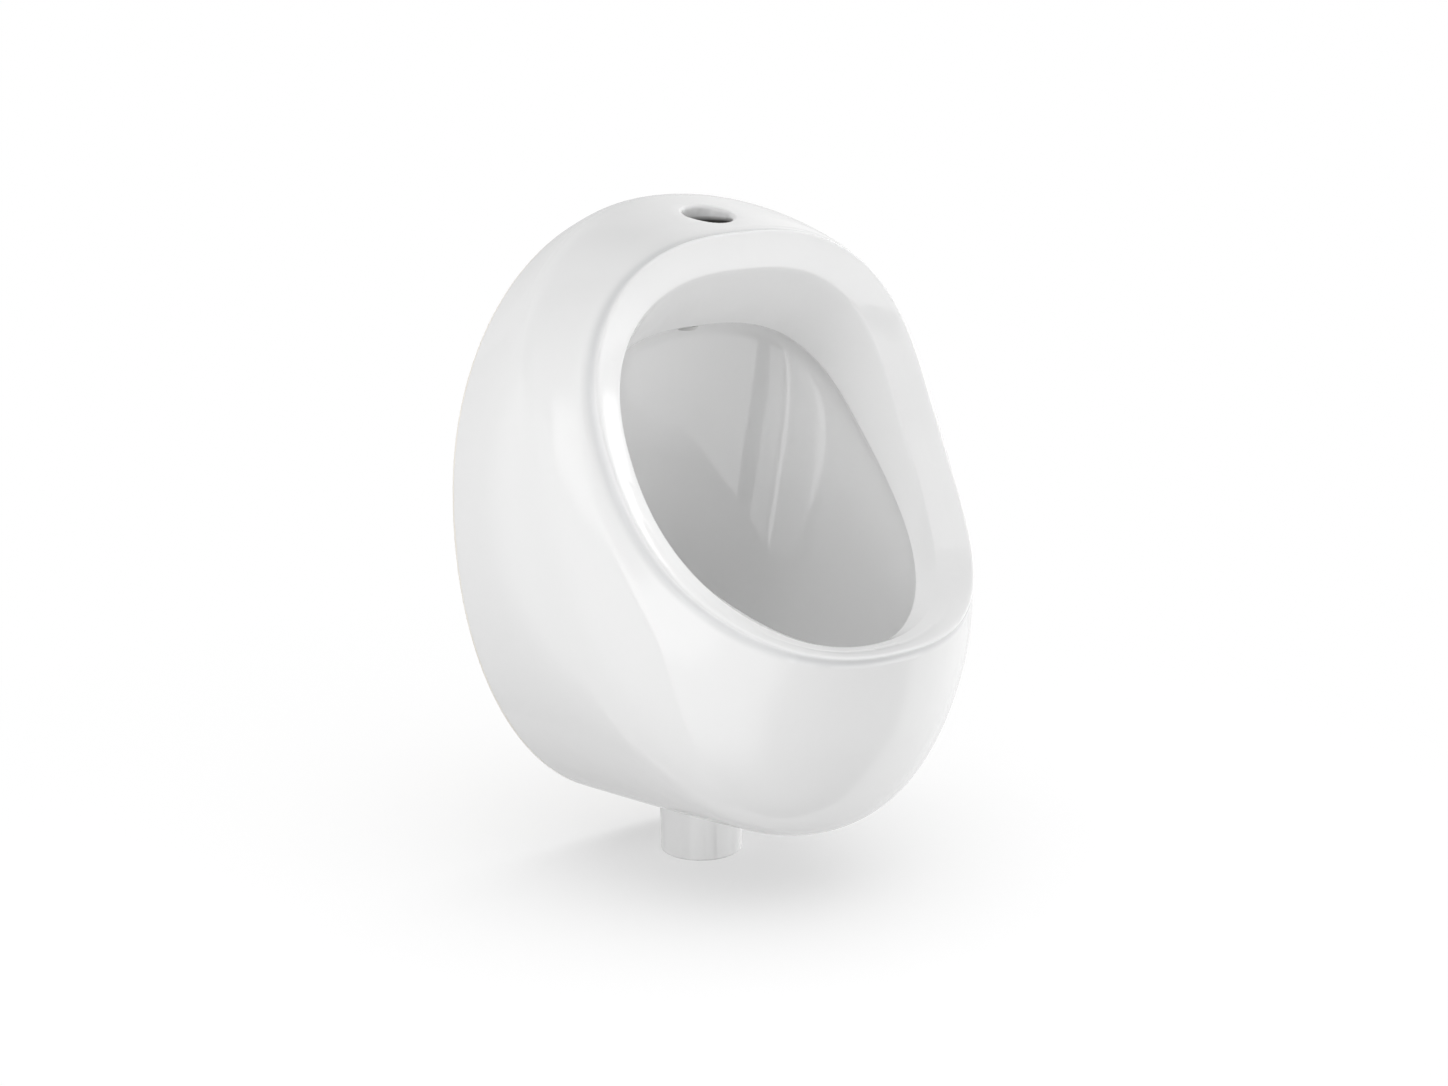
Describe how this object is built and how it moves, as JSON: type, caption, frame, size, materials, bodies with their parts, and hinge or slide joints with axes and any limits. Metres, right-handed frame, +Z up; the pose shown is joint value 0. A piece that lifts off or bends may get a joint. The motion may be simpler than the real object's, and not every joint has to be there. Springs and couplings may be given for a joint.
{
  "type": "wall hung urinal",
  "caption": "Small egg-shaped wall hung urinal in white vitreous china with a rolled rim, a top flush inlet, a waste spigot below and a hidden hook hanging",
  "frame": {"origin": "On the wall plane (y = 0), on the centre line (x = 0), level with the lower edge of the waste spigot (z = 0)", "axes": "+Z up, the user stands on the -Y side, +X to the right of a person facing the wall, +Y into the wall"},
  "size_m": [0.3065, 0.3012, 0.4228],
  "materials": {
    "china": "glossy glaze",
    "stainless": "brushed",
    "zinc_steel": "zinc plated",
    "pad_rubber": "matt",
    "nylon": "matt",
    "moulded_white": "satin"
  },
  "bodies": {
    "china": {"china_body": "china", "flush_spreader": "moulded_white", "spreader_seal": "pad_rubber", "hanger_bracket_left": "zinc_steel", "hanger_bracket_right": "zinc_steel", "hanger_saddle_left": "pad_rubber", "hanger_saddle_right": "pad_rubber", "wall_screws": "zinc_steel", "screw_washers": "zinc_steel", "wall_plugs": "nylon"},
    "strainer": {"waste_strainer": "stainless"}
  },
  "joints": [
    {"name": "strainer_lift", "type": "slide", "parent": "china", "child": "strainer", "axis": [0, 0, 1], "range_m": [0, 0.06]}
  ]
}
